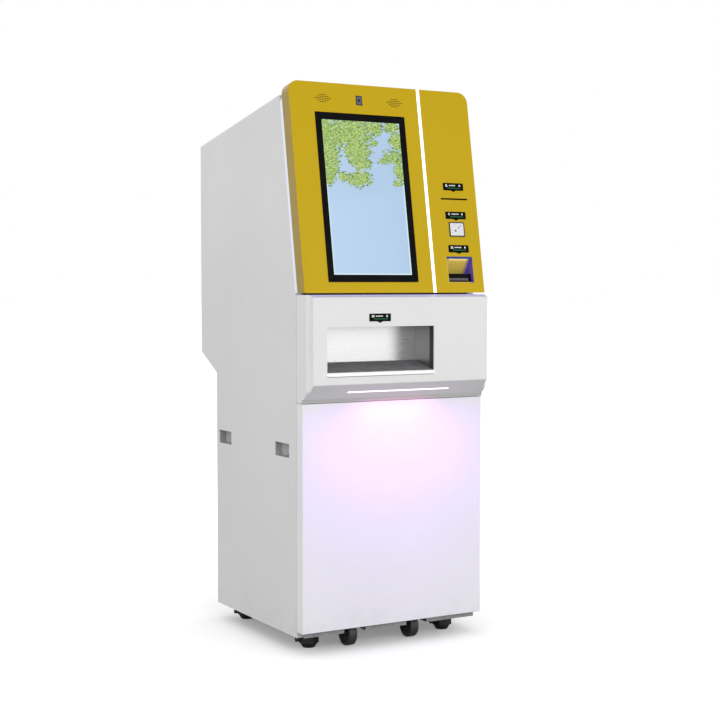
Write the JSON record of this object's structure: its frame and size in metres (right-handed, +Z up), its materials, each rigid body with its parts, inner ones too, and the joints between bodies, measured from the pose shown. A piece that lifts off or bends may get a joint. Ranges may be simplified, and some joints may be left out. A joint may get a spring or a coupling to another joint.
{
  "type": "atm machine",
  "caption": "Free-standing self-service cash kiosk with a tilted yellow touch-screen fascia, device pocket, take-out bin, lit ledge, doors, feet and casters.",
  "frame": {"origin": "on the floor, under the middle of the overall box", "axes": "+Z up, -Y towards the customer (front), +X to the customer's right"},
  "size_m": [0.632, 0.784, 1.7012],
  "materials": {
    "white_panel": "fine matte powder coat",
    "white_door": "smooth satin powder coat",
    "white_housing": "satin moulded plastic",
    "yellow_skin": "satin yellow paint",
    "stainless": "brushed",
    "lit_diffuser": "opal, lit from behind",
    "light_band": "opal",
    "black_plastic": "fine matte",
    "screen_glass": "polished",
    "label_black": "gloss",
    "grip_grey": "matte",
    "galvanised": "zinc grey",
    "bright_steel": "machined",
    "case_grey": "textured grey",
    "cassette": "moulded",
    "aluminium": "anodised",
    "black_rubber": "matte",
    "black_steel": "semi-gloss black",
    "paper": "paper"
  },
  "bodies": {
    "cabinet": {"base_pan": "galvanised", "inner_frame": "galvanised", "side_panel_left": "white_panel", "side_panel_right": "white_panel", "side_grip_cups": "grip_grey", "roof_panel": "white_panel", "rear_cover": "white_panel", "knee_panel": "white_panel", "equipment_shelf": "galvanised", "mid_housing": "white_housing", "takeout_bin": "stainless", "bin_lip": "white_housing", "bin_label": "label_black", "ledge_light": "lit_diffuser", "light_band": "light_band", "hinge_leaves": "galvanised", "dispenser_case": "case_grey", "cash_cassettes": "cassette", "note_elevator": "galvanised", "kiosk_computer": "aluminium", "power_unit": "aluminium", "power_inlet": "black_plastic", "swivel_plates": "bright_steel", "rigid_fork_left": "black_steel", "rigid_fork_right": "black_steel"},
    "lower_door": {"lower_door_panel": "white_door", "lower_door_pins": "bright_steel"},
    "door_bolt": {"door_bolt": "bright_steel"},
    "fascia_door": {"fascia_screen_panel": "yellow_skin", "fascia_device_panel": "yellow_skin", "divider_strip": "lit_diffuser", "fascia_frame": "galvanised", "fascia_pins": "bright_steel", "screen_bezel": "black_plastic", "touch_glass": "screen_glass", "lcd_module": "case_grey", "camera": "black_plastic", "speakers": "black_plastic", "fascia_labels": "label_black", "receipt_bezel": "black_plastic", "receipt_printer": "case_grey", "contactless_reader": "black_plastic", "pocket_tray": "yellow_skin", "note_outlet": "black_plastic"},
    "fascia_bolt": {"fascia_bolt": "bright_steel"},
    "paper_roll": {"paper_roll": "paper"},
    "note_shutter": {"note_shutter": "stainless"},
    "rear_door": {"rear_door_panel": "white_panel", "rear_door_leaves": "bright_steel"},
    "rear_lock": {"rear_lock": "bright_steel"},
    "front_wheel_left": {"front_wheel_left": "black_rubber"},
    "swivel_fork_left": {"swivel_fork_left": "black_steel"},
    "rear_wheel_left": {"rear_wheel_left": "black_rubber"},
    "front_wheel_right": {"front_wheel_right": "black_rubber"},
    "swivel_fork_right": {"swivel_fork_right": "black_steel"},
    "rear_wheel_right": {"rear_wheel_right": "black_rubber"},
    "foot_front_left": {"foot_front_left": "black_plastic"},
    "foot_front_right": {"foot_front_right": "black_plastic"},
    "foot_rear_left": {"foot_rear_left": "black_plastic"},
    "foot_rear_right": {"foot_rear_right": "black_plastic"}
  },
  "joints": [
    {"name": "lower_door_hinge", "type": "hinge", "parent": "cabinet", "child": "lower_door", "pos_m": [0.308, -0.332, 0.4], "axis": [0, 0, 1], "range_deg": [0, 90]},
    {"name": "door_bolt_slide", "type": "slide", "parent": "lower_door", "child": "door_bolt", "axis": [0, 0, 1], "range_m": [0, 0.014]},
    {"name": "fascia_door_hinge", "type": "hinge", "parent": "cabinet", "child": "fascia_door", "pos_m": [0.309, -0.29129, 1.36648], "axis": [0, 0.1675, 0.9859], "range_deg": [0, 90]},
    {"name": "fascia_bolt_slide", "type": "slide", "parent": "fascia_door", "child": "fascia_bolt", "axis": [-1, 0, 0], "range_m": [0, 0.012]},
    {"name": "paper_roll_turn", "type": "hinge", "parent": "fascia_door", "child": "paper_roll", "pos_m": [0.233, -0.23122, 1.34989], "axis": [1, 0, 0], "continuous": true},
    {"name": "note_shutter_slide", "type": "slide", "parent": "fascia_door", "child": "note_shutter", "axis": [0, 0.1675, 0.9859], "range_m": [0, 0.009]},
    {"name": "rear_door_hinge", "type": "hinge", "parent": "cabinet", "child": "rear_door", "pos_m": [-0.29225, 0.2732, 0.4], "axis": [0, 0, 1], "range_deg": [0, 110]},
    {"name": "rear_lock_turn", "type": "hinge", "parent": "rear_door", "child": "rear_lock", "pos_m": [0.269, 0.2685, 0.43], "axis": [0, -1, 0], "range_deg": [0, 90]},
    {"name": "front_wheel_left_turn", "type": "hinge", "parent": "cabinet", "child": "front_wheel_left", "pos_m": [-0.128, -0.276, 0.0385], "axis": [1, 0, 0], "continuous": true},
    {"name": "swivel_left", "type": "hinge", "parent": "cabinet", "child": "swivel_fork_left", "pos_m": [-0.128, 0.168, 0.0385], "axis": [0, 0, 1], "continuous": true},
    {"name": "rear_wheel_left_turn", "type": "hinge", "parent": "swivel_fork_left", "child": "rear_wheel_left", "pos_m": [-0.128, 0.14, 0.0385], "axis": [1, 0, 0], "continuous": true},
    {"name": "front_wheel_right_turn", "type": "hinge", "parent": "cabinet", "child": "front_wheel_right", "pos_m": [0.091, -0.276, 0.0385], "axis": [1, 0, 0], "continuous": true},
    {"name": "swivel_right", "type": "hinge", "parent": "cabinet", "child": "swivel_fork_right", "pos_m": [0.091, 0.168, 0.0385], "axis": [0, 0, 1], "continuous": true},
    {"name": "rear_wheel_right_turn", "type": "hinge", "parent": "swivel_fork_right", "child": "rear_wheel_right", "pos_m": [0.091, 0.14, 0.0385], "axis": [1, 0, 0], "continuous": true},
    {"name": "foot_front_left_screw", "type": "hinge", "parent": "cabinet", "child": "foot_front_left", "pos_m": [-0.24, -0.233, 0], "axis": [0, 0, 1], "continuous": true},
    {"name": "foot_front_right_screw", "type": "hinge", "parent": "cabinet", "child": "foot_front_right", "pos_m": [0.24, -0.233, 0], "axis": [0, 0, 1], "continuous": true},
    {"name": "foot_rear_left_screw", "type": "hinge", "parent": "cabinet", "child": "foot_rear_left", "pos_m": [-0.24, 0.204, 0], "axis": [0, 0, 1], "continuous": true},
    {"name": "foot_rear_right_screw", "type": "hinge", "parent": "cabinet", "child": "foot_rear_right", "pos_m": [0.24, 0.204, 0], "axis": [0, 0, 1], "continuous": true}
  ]
}
